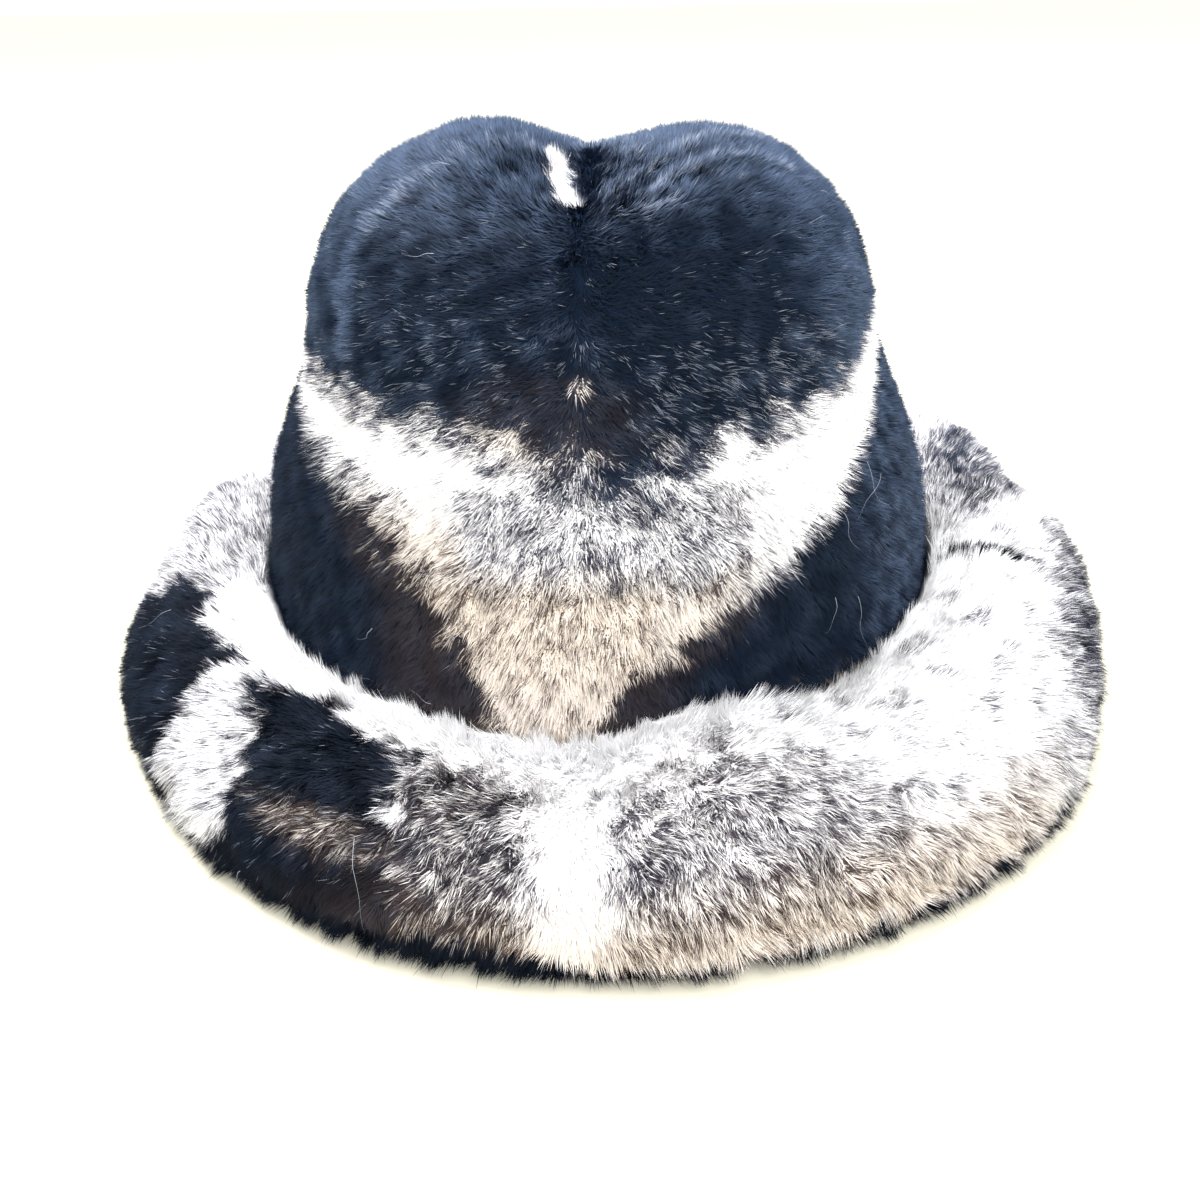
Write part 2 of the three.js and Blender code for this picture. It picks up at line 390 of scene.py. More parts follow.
def chart_crown(places):
    """Dark and warm shares, painted sheen, and silver hairs with painted glints, at each place of
    the crown.
    """
    turn, _ = turn_and_reach(places)
    turn = np.degrees(turn)
    height = places[:, 2] / MM
    x = (places[:, 0] - axis[0]) / MM
    y = (places[:, 1] - axis[1]) / MM
    wobble = 0.32 * drift(places, 14 * MM, 11) + 0.22 * drift(places, 4.5 * MM, 12)

    upper = ease(crossing(height, turn, UPPER_BORDER) + wobble, -1, 1)
    lower = ease(-crossing(height, turn, LOWER_BORDER) + 0.8 * wobble, -1, 1)
    dark = np.maximum(upper, lower)

    # brown flecks over the cream by the seam, and a few under the upper pelt in front
    middle = near(turn, -7, 14, 24)
    creamy = middle * (1 - ease(height, 60, 72))
    flecked = 0.3 + 0.12 * ease(height, 38, 52) + 0.1 * drift(places, 6 * MM, 13)
    dark = np.maximum(dark, creamy * np.clip(flecked, 0, 1))
    few = near(turn, 3, 16, 28) * near(height, 72, 9, 20)
    dark = np.maximum(dark, few * (0.52 + 0.12 * drift(places, 7 * MM, 16)))
    edge_of_cream = near(crossing(height, turn, LOWER_BORDER), 0, 0.8, 1.6)
    edge_of_cream = edge_of_cream * near(turn, -8, 22, 36) * (1 - ease(height, 70, 86))
    warm = np.clip(np.maximum(creamy, 0.8 * edge_of_cream), 0, 1)
    from_brownish = np.hypot((turn + 4) / 16, (height - 101) / 13)
    warm = np.maximum(warm, 0.55 * (1 - ease(from_brownish, 0.5, 1.1)))

    # a white patch in the crease, and a small whorl on the front
    from_patch = beside_line(x, y, CREASE_PATCH) + 1.5 * wobble
    patch = 1 - ease(from_patch, CREASE_PATCH_WIDTH - 1, CREASE_PATCH_WIDTH + 1)
    patch = patch * (height > PATCH_HEIGHT)
    whorl_centre = (WHORL["turn"] * TURN_TO_MM, WHORL["height"])
    whorl = spot(turn * TURN_TO_MM, height, whorl_centre, WHORL["radius"], 2)
    dark = dark * (1 - patch) * (1 - 0.6 * whorl)

    # painted blue-grey sheen on the lobes' rims, ridges and sides, beside the crease, on the right
    # and on the lower pelt at the right, less where the front lies in shade
    lines = light_lines(x, y, height)
    on_sides = ease(np.abs(turn), 35, 62) * ease(height, 96, 110)
    on_rims = ease(np.hypot(x / 80, (y + 8) / 84), 0.52, 0.95)
    in_shade = (1 - ease(np.hypot(x - 22, height - 128), 12, 32)) * (y < -20)
    by_crease = near(x, 8, 8, 20) * (height > RIDGE_HEIGHT) * ease(y, -64, -50)
    on_right = near(turn, 52, 8, 16) * near(height, 114, 14, 24)
    painted_sheen = 0.05 + 0.5 * ease(height, 132, 148) + 0.3 * on_sides - 0.25 * in_shade
    painted_sheen = painted_sheen + 0.9 * lines + 0.08 * on_rims + 0.2 * drift(places, 12 * MM, 14)
    painted_sheen = painted_sheen + 0.7 * by_crease + 0.3 * on_right
    on_low_right = lower * near(turn, 84, 32, 48) * (1 + drift(places, 6 * MM, 17))
    painted_sheen = np.clip(painted_sheen, 0, 1) * (1 - 0.6 * lower) + 0.45 * on_low_right
    painted_sheen = np.clip(painted_sheen, 0, 1)

    # silver hairs: a few real ones scattered over all, and painted glints on the front, on the
    # crease's right slope and along the ridges
    low_right = near(turn, 26, 14, 24) * near(height, 104, 8, 18)
    low_left = near(turn, -24, 12, 24) * near(height, 110, 8, 20)
    right_slope = near(x, 5, 5, 11) * (height > SLOPE_HEIGHT) * ease(y, -66, -52)
    silver_and_glint = 0.01 + 0.02 * drift(places, 18 * MM, 15)
    silver_and_glint = silver_and_glint + 0.14 * low_right + 0.05 * low_left + 0.2 * right_slope
    silver_and_glint = silver_and_glint + 0.42 * lines * (height > SILVER_HEIGHT)
    silver_and_glint = np.clip(silver_and_glint, 0, 1) * (1 - lower)
    return dark, warm, painted_sheen, silver_and_glint


# %% The brim's chart
# Outlines of the brim's patches: turn in degrees, and share of the way out to the edge,
# which goes on past 1 where the edge rolls under
LEFT_PATCH = [
    (-80, 1.4), (-77, 1.0), (-71, 0.78), (-67.5, 0.6), (-66, 0.38), (-60, 0.35), (-55, 0.41),
    (-49, 0.37), (-43.5, 0.35), (-45, 0.53), (-44, 0.7), (-44, 0.86), (-43, 1.01), (-42.5, 1.4),
]
BIG_PATCH = [
    (-40.5, 0.39), (-35.5, 0.32), (-30, 0.27), (-24, 0.28), (-20, 0.36), (-14, 0.36),
    (-15.3, 0.59), (-13.2, 0.75), (-12.2, 0.89), (-11, 1.0), (-9, 1.1), (-7, 1.4), (-38, 1.4),
    (-35.5, 1.12), (-33.4, 0.98), (-31.9, 0.85), (-30.8, 0.71), (-32.3, 0.62), (-37.3, 0.52),
]
FRONT_PEPPER = [
    (-17, 0.42), (-9, 0.36), (-4.5, 0.45), (-3, 0.7), (-2.5, 1.4), (-14, 1.4), (-16, 0.8),
]
FAN = [(2, 0.6), (8, 0.42), (14, 0.38), (22, 0.55), (30, 0.8), (27, 1.1), (3, 1.1)]
EDGE_GREY = [(50, 1.4), (54, 0.85), (64, 0.68), (78, 0.66), (88, 0.75), (92, 1.4)]
BACK_GREY = [
    (84, 0.15), (92, 0.12), (112, 0.2), (118, 0.8), (104, 0.95), (92, 0.75), (84, 0.4),
]
# Small spots: turn, share, radius and softness in mm, and how dark the spot is
SPOTS = [
    (5.8, 0.78, 5, 4, 0.7), (11.8, 0.51, 3.5, 3, 0.6), (13.5, 0.35, 4.5, 4, 0.45),
    (2, 0.5, 2.4, 2, 0.6),
]
# A dark fold in the right brim
FOLD = {"turn": 70.5, "from": 0.12, "to": 0.62, "half_width": 1.8}
# Height under which the fur along the foot of the edge is dark, in mm
FRINGE = [
    (-180, 7), (-40, 7), (-14, 12), (-7, 13), (-1, 9.5), (4, 7.5), (20, 8), (37, 9), (60, 8),
    (180, 7),
]
# Height at which the edge begins to roll under, and the chart's units in mm
ROLL_HEIGHT = 16
BRIM_TURN_TO_MM = 2.36
BRIM_REACH = 49
# How far the brim reaches out from the crown's foot, in mm
BRIM_WIDTH = {"left": 43, "right": 49, "front": 52, "back": 53}


def brim_share(places):
    """Share of the way from the crown's foot to the brim's edge, and the turn in degrees."""
    turn, reach = turn_and_reach(places)
    side = np.where(places[:, 0] > axis[0], BRIM_WIDTH["right"], BRIM_WIDTH["left"])
    end = np.where(places[:, 1] < axis[1], BRIM_WIDTH["front"], BRIM_WIDTH["back"])
    full = (end + (side - end) * np.sin(turn) ** 2) * MM
    share = (reach - foot_reach(turn)) / full
    rolled = np.clip(ROLL_HEIGHT - places[:, 2] / MM, 0, None) / BRIM_REACH
    return np.where(share > 0.8, share + rolled, share), np.degrees(turn)


def patch_share(across, up, outline, wobble, soft):
    """1 inside a patch and 0 outside it, with a ragged soft border."""
    scaled = [(turn * BRIM_TURN_TO_MM, share * BRIM_REACH) for turn, share in outline]
    return ease(inside_outline(across, up, scaled) + wobble, -soft, soft)


def chart_brim(places):
    """Dark and warm shares, painted sheen, and silver hairs, at each place of the brim."""
    share, turn = brim_share(places)
    height = places[:, 2] / MM
    across, up = turn * BRIM_TURN_TO_MM, share * BRIM_REACH
    wobble = 1.8 * drift(places, 12 * MM, 21) + 1.4 * drift(places, 4.5 * MM, 22)
    clusters = ease(drift(places, 13 * MM, 23) + 0.4 * drift(places, 5 * MM, 27), 0.25, 0.9)
    fine = 0.45 * drift(places, 5 * MM, 24)
    behind = ease(np.abs(turn), 88, 112)

    # pepper over the right side, the back and the ends of the left side
    dark = 0.03 + 0.03 * fine
    dark = np.maximum(dark, (0.05 + 0.4 * clusters) * ease(turn, 8, 20) * (1 - behind))
    dark = np.maximum(dark, (0.24 + 0.2 * fine) * ease(turn, 66, 80) * (1 - ease(share, 0.35, 0.7)))
    dark = np.maximum(dark, 0.4 * ease(share, 0.75, 0.98) * ease(turn, 0, 8) + 0.15 * fine)
    lumps = 0.22 * drift(places, 30 * MM, 25) + 0.13 * drift(places, 8 * MM, 28)
    dark = np.maximum(dark, behind * (0.34 + lumps))
    wedge = near(turn, -38, 6, 12) * ease(share, 0.3, 0.6)
    dark = np.maximum(dark, wedge * (0.34 + 0.3 * fine))
    light_left = near(turn, -80, 14, 26) * (1 - ease(share, 0.6, 0.9))
    dark = np.maximum(dark, light_left * (0.5 + 0.25 * fine))

    # grey patches, and small spots round the fan in front
    fan = patch_share(across, up, FAN, 1.5 * wobble, 8)
    dark = np.maximum(dark, fan * (0.52 + 0.25 * fine))
    for spot_turn, spot_share, radius, soft, strength in SPOTS:
        centre = (spot_turn * BRIM_TURN_TO_MM, spot_share * BRIM_REACH)
        dark = np.maximum(dark, strength * spot(across, up, centre, radius, soft))
    front = patch_share(across, up, FRONT_PEPPER, wobble, 8)
    dark = np.maximum(dark, front * (0.7 + 0.25 * fine + 0.1 * ease(share, 0.85, 1.05)))
    edge_grey = patch_share(across, up, EDGE_GREY, wobble, 10)
    back_grey = patch_share(across, up, BACK_GREY, wobble, 10)
    dark = np.maximum(dark, edge_grey * (0.76 + 0.25 * fine))
    dark = np.maximum(dark, back_grey * (0.76 + 0.35 * fine))

    # white by the seam in front, and in the tuck along the crown's foot
    strip_inner = 0.8 + 2.0 * (1 - ease(share, 0.3, 0.9))
    strip = near(turn, 0.2, strip_inner, 2.6 + 2.4 * (1 - share))
    tuck = near(turn, -14, 10, 12) * (1 - ease(share, 0.29, 0.33))
    dark = dark * (1 - 0.55 * strip)

    # the two near-black patches, the second with a brown-grey streak through it
    left = patch_share(across, up, LEFT_PATCH, wobble, 3)
    big = patch_share(across, up, BIG_PATCH, wobble, 3)
    from_streak = np.hypot((turn + 21.5) / 9, (share - 0.77) / 0.085)
    streak = (1 - ease(from_streak + 0.25 * fine, 0.4, 1.2)) * big
    dark = np.maximum(dark, np.maximum(left, big) * (1 - 0.25 * streak))
    dark = dark * (1 - tuck)

    # the fold, a grey place behind it by the crown, and dark fur along the foot of the edge
    fold = near(across, FOLD["turn"] * BRIM_TURN_TO_MM, FOLD["half_width"], 3)
    fold = fold * (share > FOLD["from"]) * (share < FOLD["to"])
    dark = np.maximum(dark, 0.9 * fold)
    by_crown = near(turn, 96, 12, 22) * (1 - ease(share, 0.3, 0.55))
    dark = np.maximum(dark, 0.5 * by_crown)
    fringe_top = along_table(FRINGE, turn)
    under = (1 - ease(height + 0.25 * wobble, fringe_top - 1.5, fringe_top + 1)) * (share > 0.8)
    dark = np.maximum(dark, 0.99 * under)

    low = ease(share, 0.78, 0.98) * near(turn, 12, 24, 40)
    warm = 0.8 * low + 0.9 * streak + 0.2 * fan + 0.35 * front
    # painted blue-grey sheen, faint all over and stronger behind
    painted_sheen = 0.05 + 0.08 * drift(places, 14 * MM, 26) + 0.25 * behind
    silver_and_glint = 0.01 + 0.02 * fine + 0.05 * streak
    above = 1 - under
    return np.clip(dark, 0, 1), *(np.clip(part, 0, 1) * above for part in (warm, painted_sheen, silver_and_glint))


charts = {"crown": chart_crown, "brim": chart_brim}
for node, chart in charts.items():
    dark = chart(vertices_of(skins[node].data))[0]
    print(node, "is dark over", dark.mean().round(2), "of its skin")

# %% [markdown]
# ## How the fur is combed
# On the crown the hairs run sideways from the front seam, and more and more downwards
# towards the foot. On the brim they run outwards, and lean away from the front seam.
# The comb gives one direction at each root, laid along the skin, with a slow drift on it.

# %% The comb
# Over this distance the comb turns from one side of the front seam to the other
SEAM_BLEND = 5 * MM


def unit(vectors):
    """Vectors made one long."""
    return vectors / np.maximum(np.linalg.norm(vectors, axis=1, keepdims=True), 1e-12)


def round_the_axis(places):
    """Directions outwards from the axis, and sideways away from the front seam."""
    outward = places - axis
    outward[:, 2] = 0
    x = outward[:, 0].copy()
    outward = unit(outward)
    sideways = np.stack([-outward[:, 1], outward[:, 0], np.zeros(len(x))], 1)
    return outward, sideways * np.tanh(x / SEAM_BLEND)[:, None]


def comb_crown(places):
    """Sideways from the seam on the front, and downwards near the foot and at the sides."""
    outward, sideways = round_the_axis(places)
    height = places[:, 2] / MM
    turn, _ = turn_and_reach(places)
    sideways_share = 0.3 + 0.7 * ease(height, 60, 105)
    sideways_share *= 1 - 0.8 * ease(np.abs(turn), 2.0, 3.0)
    downward_share = 1.0 - 0.55 * ease(height, 75, 110)
    combed = sideways * sideways_share[:, None] + outward * 0.25
    combed[:, 2] -= downward_share
    return combed


def comb_brim(places):
    """Outwards, with a lean away from the front seam, and down over the edge."""
    outward, sideways = round_the_axis(places)
    share, turn = brim_share(places)
    lean = 0.5 * (1 - 0.6 * ease(share, 0.4, 1.0)) * (1 - ease(np.abs(turn), 110, 170))
    combed = outward + sideways * lean[:, None]
    combed[:, 2] -= 0.3
    return combed


combs = {"crown": comb_crown, "brim": comb_brim}
# How far the comb strays from its direction, in radians
WANDER = {"crown": 0.35, "brim": 0.65}


def combed_directions(node, places, normals):
    """Unit directions along the skin, with the drift that makes fur look alive."""
    combed = combs[node](places)
    combed = unit(combed - normals * (combed * normals).sum(1, keepdims=True))
    angle = WANDER[node] * (0.7 * drift(places, 16 * MM, 31) + 0.5 * drift(places, 6 * MM, 32))
    across = np.cross(normals, combed)
    return combed * np.cos(angle)[:, None] + across * np.sin(angle)[:, None]


# %% [markdown]
# ## Growing the fur
# The pile is as short and dense as plush, so each hair is one straight narrow blade from
# its root in the skin to its pointed tip. Thousands of them are joined in one mesh,
# straight from arrays, because no operator could make so many in time. Neighbours lean
# together into small tufts. Every hair has its own small cell in the piece's UV map, so
# that its colour can be kept with it.

# %% Roots spread over a skin
# Fur is sown thicker in front than behind, between these turns in radians
FRONT_WEIGHT, BACK_WEIGHT = 1.25, 0.75
FRONT_END, BACK_START = 1.5, 2.2


def skin_triangles(mesh):
    """The corners of a mesh's triangles."""
    mesh.calc_loop_triangles()
    corners = np.zeros(len(mesh.loop_triangles) * 3, int)
    mesh.loop_triangles.foreach_get("vertices", corners)
    return corners.reshape(-1, 3)


def spread_roots(node, count, side, dice):
    """Random roots and their normals over one side of a skin, thicker in front."""
    mesh = skins[node].data
    places, normals = vertices_of(mesh), normals_of(mesh)
    corners = skin_triangles(mesh)
    centres = places[corners].mean(1)
    start = places[corners[:, 0]]
    crossed = np.cross(places[corners[:, 1]] - start, places[corners[:, 2]] - start)
    area = np.linalg.norm(crossed, axis=1) / 2
    grows = fur_share[node](centres, unit(normals[corners].mean(1))) > 0.5
    turn, _ = turn_and_reach(centres)
    # a side of 0 takes both sides
    on_side = (centres[:, 0] - axis[0]) * side >= 0
    behind = ease(np.abs(turn), FRONT_END, BACK_START)
    weight = area * grows * on_side * (FRONT_WEIGHT + (BACK_WEIGHT - FRONT_WEIGHT) * behind)
    chosen = np.searchsorted(np.cumsum(weight) / weight.sum(), dice.random(count))
    chosen = np.minimum(chosen, len(corners) - 1)
    first, second = np.sqrt(dice.random(count)), dice.random(count)
    shares = np.stack([1 - first, first * (1 - second), first * second], 1)[:, :, None]
    roots = (places[corners[chosen]] * shares).sum(1)
    return roots, unit((normals[corners[chosen]] * shares).sum(1))


def tuft_of(roots, tufts):
    """Which tuft's middle is nearest to each root. The middles are some of the roots."""
    tree = kdtree.KDTree(tufts)
    for index in range(tufts):
        tree.insert(roots[index], index)
    tree.balance()
    return np.array([tree.find(root)[1] for root in roots])


# %% One mesh of hairs
# Cells of the UV map in a row, and the margins of a blade in its cell
ATLAS = 432
CELL_SIDE, CELL_END = 0.1, 0.1
# Share of the skin's normal in a blade's own
SKIN_SHARE_OF_NORMAL = 0.8


def cells_by_place(roots):
    """A cell of the UV map for each hair, so that neighbours there are neighbours on the hat."""
    turn, _ = turn_and_reach(roots)
    column = np.argsort(np.argsort(turn)) // ATLAS
    order = np.lexsort((roots[:, 2], column))
    cell = np.empty(len(roots), int)
    cell[order] = np.arange(len(roots))
    return np.stack([cell // ATLAS, cell % ATLAS], 1)


def hair_mesh(name, low, tip, wide, normals, marks):
    """Joins blades into one mesh. marks are named values, one for each hair."""
    count = len(low)
    places = np.stack([low - wide, low + wide, tip], 1)
    mesh = bpy.data.meshes.new(name)
    mesh.vertices.add(count * 3)
    mesh.vertices.foreach_set("co", places.astype(np.float32).ravel())
    mesh.loops.add(count * 3)
    mesh.loops.foreach_set("vertex_index", np.arange(count * 3, dtype=np.int32))
    mesh.polygons.add(count)
    mesh.polygons.foreach_set("loop_start", np.arange(0, count * 3, 3, dtype=np.int32))
    mesh.update(calc_edges=True)
    mesh.polygons.foreach_set("use_smooth", np.ones(count, bool))

    shape = np.array([[CELL_SIDE, CELL_END], [1 - CELL_SIDE, CELL_END], [0.5, 1 - CELL_END]])
    uv = (cells_by_place(low)[:, None, :] + shape[None]) / ATLAS
    mesh.uv_layers.new(name="OFBake").data.foreach_set("uv", uv.astype(np.float32).ravel())

    for label, values in marks.items():
        mark = mesh.attributes.new(label, "FLOAT", "POINT")
        mark.data.foreach_set("value", np.repeat(values, 3).astype(np.float32))
    along = mesh.attributes.new("along", "FLOAT", "POINT")
    along.data.foreach_set("value", np.tile([0, 0, 1], count).astype(np.float32))

    # pile is lit as the skin under it is, more than as each blade would be
    own = unit(np.cross(wide, tip - low))
    soft = unit(normals * SKIN_SHARE_OF_NORMAL + own * (1 - SKIN_SHARE_OF_NORMAL))
    soft = np.repeat(soft, 3, axis=0).astype(np.float32)
    mesh.normals_split_custom_set_from_vertices(soft)

    piece = bpy.data.objects.new(name, mesh)
    bpy.context.scene.collection.objects.link(piece)
    return piece


# %% Hairs from roots
# Length and width of a hair, its rise from the skin in degrees, hairs in a tuft, how
# strongly a tuft leans together, and how much neighbours share one colour
FUR = {
    "crown": {
        "length": 3.9 * MM, "width": 0.32 * MM, "rise": 45, "tuft": 26, "pull": 0.25, "fleck": 0.3,
    },
    "brim": {
        "length": 5.0 * MM, "width": 0.38 * MM, "rise": 43, "tuft": 45, "pull": 0.45, "fleck": 0.5,
    },
}
ROOT_SUNK = 0.5 * MM
HAIRS_IN_A_FLECK = 9
# Width of the change between a light and a dark hair in the draw of lots
LOT_BLUR = 0.35
# Along the light lines on the lobes the pile stands this much higher
RIDGE_LIFT = 1.3 * MM
FLOOR_GAP = 0.4 * MM


def ranks(lots):
    """Each lot's place in the order of all, from 0 to 1."""
    return np.argsort(np.argsort(lots)) / len(lots)


def grow(name, node, count, side, seed):
    """Grows one mesh of fur on one side of a skin."""
    dice = np.random.default_rng(seed)
    fur = FUR[node]
    roots, normals = spread_roots(node, count, side, dice)
    combed = combed_directions(node, roots, normals)
    tufts = count // fur["tuft"]
    tuft = tuft_of(roots, tufts)

    slow = drift(roots, 11 * MM, 41)
    length = fur["length"] * (1 + 0.1 * slow + dice.normal(0, 0.16, count)).clip(0.5, 1.5)
    rise = fur["rise"] + 9 * slow + dice.normal(0, 11, count) + 7 * dice.normal(0, 1, tufts)[tuft]
    rise = np.radians(rise)
    astray = dice.normal(0, 0.22, count) + 0.2 * dice.normal(0, 1, tufts)[tuft]
    across = np.cross(normals, combed)
    heading = combed * np.cos(astray)[:, None] + across * np.sin(astray)[:, None]
    aim = heading * np.cos(rise)[:, None] + normals * np.sin(rise)[:, None]
    if node == "crown":
        from_axis = (roots - axis) / MM
        lift = light_lines(from_axis[:, 0], from_axis[:, 1], from_axis[:, 2])
        roots = roots + normals * (lift * RIDGE_LIFT)[:, None]
    low = roots - normals * ROOT_SUNK
    tip = low + aim * length[:, None]

    # neighbours lean together towards the tip of the hair in the middle of their tuft
    tip = tip + (tip[tuft] - tip) * (fur["pull"] * dice.random(count))[:, None]
    for places in (low, tip):
        places[:, 2] = np.maximum(places[:, 2], FLOOR_GAP)

    twist = dice.normal(0, 0.5, count)[:, None]
    sideways = unit(np.cross(tip - low, normals)) * np.cos(twist) + normals * np.sin(twist)
    wide = sideways * (fur["width"] * dice.uniform(0.75, 1.25, count) / 2)[:, None]
    # each blade turns its face outwards
    inward = (np.cross(wide, tip - low) * normals).sum(1) < 0
    wide[inward] *= -1

    dark, warm, painted_sheen, silver_and_glint = charts[node](roots)
    flecks = count // HAIRS_IN_A_FLECK
    fleck = tuft_of(roots, flecks)
    own, shared = dice.random(count), dice.random(flecks)[fleck]
    lot = ranks((1 - fur["fleck"]) * own + fur["fleck"] * shared)
    silver_lot = ranks(0.4 * dice.random(count) + 0.6 * dice.random(flecks)[fleck])
    marks = {
        "dark": np.clip((dark * (1 + LOT_BLUR) - LOT_BLUR / 2 - lot) / LOT_BLUR + 0.5, 0, 1),
        "pepper": 1 - ease(dark, 0.4, 0.95),
        "ticking": np.clip(dark * 0.75 + dice.normal(0.02, 0.1, count), 0, 1),
        "warm": np.clip(warm + dice.normal(0, 0.1, count), 0, 1),
        # the painted sheen and the silver hairs with painted glints go with each hair
        "painted_sheen": np.clip(painted_sheen * dice.uniform(0.3, 1.5, count), 0, 1),
        "silver_and_glint": (silver_lot < silver_and_glint) * dice.uniform(0.4, 1.0, count),
        "luck": dice.random(count),
    }
    piece = hair_mesh(name, low, tip, wide, normals, marks)
    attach(piece, "root")
    print(name, "has", count, "hairs,", len(piece.data.vertices), "vertices")
    return piece


# %% The fur of the hat
# Hairs in each half of the crown's and of the brim's fur
HAIRS = 186000
LEFT, RIGHT, BOTH = -1, 1, 0
fur_pieces = {
    "crown_fur_left": grow("crown_fur_left", "crown", HAIRS, LEFT, 101),
    "crown_fur_right": grow("crown_fur_right", "crown", HAIRS, RIGHT, 102),
    "brim_fur_left": grow("brim_fur_left", "brim", HAIRS, LEFT, 103),
    "brim_fur_right": grow("brim_fur_right", "brim", HAIRS, RIGHT, 104),
}

# %% [markdown]
# ## Stray hairs
# A few long pale hairs have worked loose and lie on the pile in loose curls. Each is a
# narrow ribbon that is laid along the skin at the height of the pile.

# %% Loose hairs on the pile
STRAYS = {"crown": 26, "brim": 13}
STRAY_STEPS = 9
STRAY_WIDTH = 0.11 * MM
# How high above the pile a stray hair's waves lift it, and how fast they follow each other
WAVE_HEIGHT, WAVE_PACE = 0.9 * MM, 0.9


def lay_strays(name, seed):
    """Lays long thin ribbons on the front of the crown and of the brim."""
    dice = np.random.default_rng(seed)
    corners, faces = [], []
    for node, count in STRAYS.items():
        tree = BVHTree.FromObject(skins[node], bpy.context.evaluated_depsgraph_get())
        roots, normals = spread_roots(node, count * 3, BOTH, dice)
        in_front = np.flatnonzero(roots[:, 1] < axis[1])[:count]
        headings = combed_directions(node, roots, normals)
        for index in in_front:
            place, normal = Vector(roots[index]), Vector(normals[index])
            heading = Vector(headings[index]) + Vector(dice.normal(0, 0.7, 3))
            step = dice.uniform(0.8, 2.2) * MM
            curl = dice.normal(0, 0.1)
            for at in range(STRAY_STEPS + 1):
                lift = PILE_DEPTH[node] + (0.5 + 0.5 * math.sin(at * WAVE_PACE)) * WAVE_HEIGHT
                on_pile = place + normal * lift
                on_pile.z = max(on_pile.z, PILE_DEPTH[node])
                heading = (heading - normal * heading.dot(normal)).normalized()
                aside = normal.cross(heading) * (STRAY_WIDTH / 2 * (1.05 - at / STRAY_STEPS))
                corners += [on_pile - aside, on_pile + aside]
                if at:
                    end = len(corners)
                    faces.append((end - 4, end - 3, end - 1, end - 2))
                heading = heading + normal.cross(heading) * curl
                curl += dice.normal(0, 0.07)
                place, normal = tree.find_nearest(place + heading * step)[:2]
    mesh = bpy.data.meshes.new(name)
    mesh.from_pydata(corners, [], faces)
    piece = bpy.data.objects.new(name, mesh)
    bpy.context.scene.collection.objects.link(piece)
    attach(piece, "root")
    print(name, "has", len(faces), "faces")
    return piece


strays = lay_strays("stray_hairs", 105)

# %% [markdown]
# ## Materials
# A small class wraps a socket so that shader maths reads like arithmetic, and one method
# adds any other node.

# %% Shader tools
class Value:
    """A socket that plain arithmetic works on."""

    def __init__(self, maker, socket):
        self.maker, self.socket = maker, socket

    def math(self, operation, first, second=None):
        values = {0: first} if second is None else {0: first, 1: second}
        return self.maker.node("ShaderNodeMath", {"operation": operation}, values)

    def __add__(self, other):
        return self.math("ADD", self, other)

    def __radd__(self, other):
        return self.math("ADD", other, self)

    def __sub__(self, other):
        return self.math("SUBTRACT", self, other)

    def __rsub__(self, other):
        return self.math("SUBTRACT", other, self)

    def __mul__(self, other):
        return self.math("MULTIPLY", self, other)

    def __rmul__(self, other):
        return self.math("MULTIPLY", other, self)

    def clamp(self):
        return self.maker.node("ShaderNodeClamp", {}, {"Value": self})


class Finish:
    """One material and its nodes."""

    def __init__(self, name, colour):
        self.material = bpy.data.materials.new(name)
        self.material.use_nodes = True
        self.material.diffuse_color = (*colour, 1)
        self.tree = self.material.node_tree
        self.tree.nodes.clear()
        self.output = self.tree.nodes.new("ShaderNodeOutputMaterial")

    def node(self, kind, settings, values, output=0):
        """Adds a node with its settings and the values or links of its sockets."""
        node = self.tree.nodes.new(kind)
        for key, setting in settings.items():
            setattr(node, key, setting)
        for key, value in values.items():
            if isinstance(value, Value):
                self.tree.links.new(value.socket, node.inputs[key])
            else:
                node.inputs[key].default_value = value
        return Value(self, node.outputs[output])

    def attribute(self, name):
        return self.node("ShaderNodeAttribute", {"attribute_name": name}, {}, output="Fac")

    def place(self):
        return self.node("ShaderNodeTexCoord", {}, {}, output="Object")

    def noise(self, scale, detail=2.0):
        values = {"Vector": self.place(), "Scale": scale, "Detail": detail}
        return self.node("ShaderNodeTexNoise", {}, values, output=0)

    def mix(self, factor, first, second):
        """A colour between two colours."""
        values = {0: factor, 6: self.colour(first), 7: self.colour(second)}
        return self.node("ShaderNodeMix", {"data_type": "RGBA"}, values, output=2)

    @staticmethod
    def colour(value):
        return value if isinstance(value, Value) else (*value, 1)

    def surface(self, colour, constants, normal=None):
        """Ends the material in one shader."""
        values = {"Base Color": colour, **constants}
        if normal is not None:
            values["Normal"] = normal
        shader = self.node("ShaderNodeBsdfPrincipled", {}, values)
        self.tree.links.new(shader.socket, self.output.inputs["Surface"])
        return self.material


# %% The fur's colours
# Linear colours of the pelts
NIGHT = (0.0034, 0.0088, 0.0205)
NIGHT_ROOT = (0.0030, 0.0055, 0.0105)
# The painted sheen's blue-grey colour over the dark fur
SHEEN_BLUE_GREY = (0.070, 0.100, 0.165)
# Silver-grey of a few pale hairs and of the painted glints
SILVER = (0.30, 0.33, 0.40)
LILAC = (0.110, 0.095, 0.135)
SNOW = (0.92, 0.92, 0.93)
SNOW_ROOT = (0.70, 0.68, 0.68)
CREAM = (0.82, 0.72, 0.63)
BROWN = (0.105, 0.066, 0.045)
SMOKE = (0.22, 0.20, 0.225)
STRAY_DARK, STRAY_LIGHT = (0.10, 0.13, 0.17), (0.42, 0.46, 0.50)
# Fur has hardly any mirror shine of its own
DULL = 0.05


